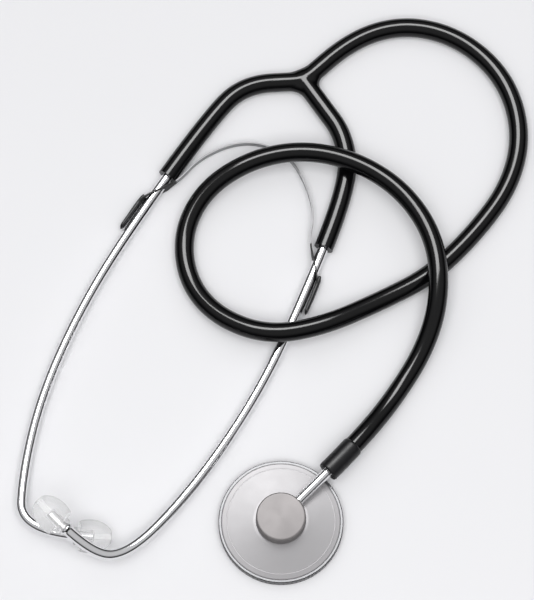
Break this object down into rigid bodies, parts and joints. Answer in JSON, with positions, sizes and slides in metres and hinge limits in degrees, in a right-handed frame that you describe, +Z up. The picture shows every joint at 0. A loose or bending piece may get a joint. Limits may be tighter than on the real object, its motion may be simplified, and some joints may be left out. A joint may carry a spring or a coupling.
{
  "type": "stethoscope",
  "caption": "Single-head stethoscope lying with its hose in a loop: chest piece that swivels on its stem, bent metal ear tubes with a leaf spring, soft ear tips.",
  "frame": {"origin": "centre of the chest piece's face, on the table that the stethoscope lies on", "axes": "+Z up out of the table, +Y from the chest piece towards the Y piece, +X to the right as seen from above"},
  "size_m": [0.21, 0.2435, 0.0279],
  "materials": {
    "turned_metal": "turned, satin, with fine rings round the axis",
    "bright_metal": "polished",
    "diaphragm_sheet": "thin glass-fibre sheet, smooth",
    "black_rubber": "matt",
    "black_tubing": "soft black tubing with a gloss skin",
    "dull_black": "satin black",
    "spring_steel": "satin",
    "clear_soft": "pale, see-through, soft"
  },
  "bodies": {
    "tubing": {"main_hose": "black_tubing", "hose_end_sleeve": "dull_black", "y_piece": "black_tubing", "left_arm": "black_tubing", "right_arm": "black_tubing", "right_ear_tube": "bright_metal", "leaf_spring": "spring_steel", "right_spring_sleeve": "dull_black"},
    "left_ear": {"left_ear_tube": "bright_metal", "left_spring_sleeve": "dull_black"},
    "left_tip": {"left_ear_tip": "clear_soft"},
    "right_tip": {"right_ear_tip": "clear_soft"},
    "chest_piece": {"chest_body": "turned_metal", "chest_stem": "bright_metal"},
    "diaphragm_set": {"diaphragm": "diaphragm_sheet", "diaphragm_gasket": "black_rubber"},
    "ring": {"retaining_ring": "bright_metal"}
  },
  "joints": [
    {"name": "ear_tube_spread", "type": "hinge", "parent": "tubing", "child": "left_ear", "pos_m": [-0.025, 0.177, 0.004], "axis": [0, 0, -1], "range_deg": [0, 45], "stiffness_Nm_per_rad": 0.8, "deforming": ["leaf_spring", "left_arm"]},
    {"name": "left_tip_pull", "type": "slide", "parent": "left_ear", "child": "left_tip", "axis": [0.9987, -0.0336, 0.037], "range_m": [0, 0.008]},
    {"name": "right_tip_pull", "type": "slide", "parent": "tubing", "child": "right_tip", "axis": [-0.6799, 0.6752, 0.286], "range_m": [0, 0.008]},
    {"name": "chest_swivel", "type": "hinge", "parent": "tubing", "child": "chest_piece", "pos_m": [0, 0, 0.01], "axis": [0.7009, 0.7133, 0], "range_deg": [-90, 90]},
    {"name": "diaphragm_release", "type": "slide", "parent": "chest_piece", "child": "diaphragm_set", "axis": [0, 0, -1], "range_m": [0, 0.0016]},
    {"name": "ring_unscrew", "type": "hinge", "parent": "diaphragm_set", "child": "ring", "pos_m": [0, 0, 0.0025], "axis": [0, 0, 1], "range_deg": [0, 360]}
  ],
  "couplings": [
    {"joint": "diaphragm_release", "follows": "ring_unscrew", "m_per_rad": 0.00025464}
  ]
}
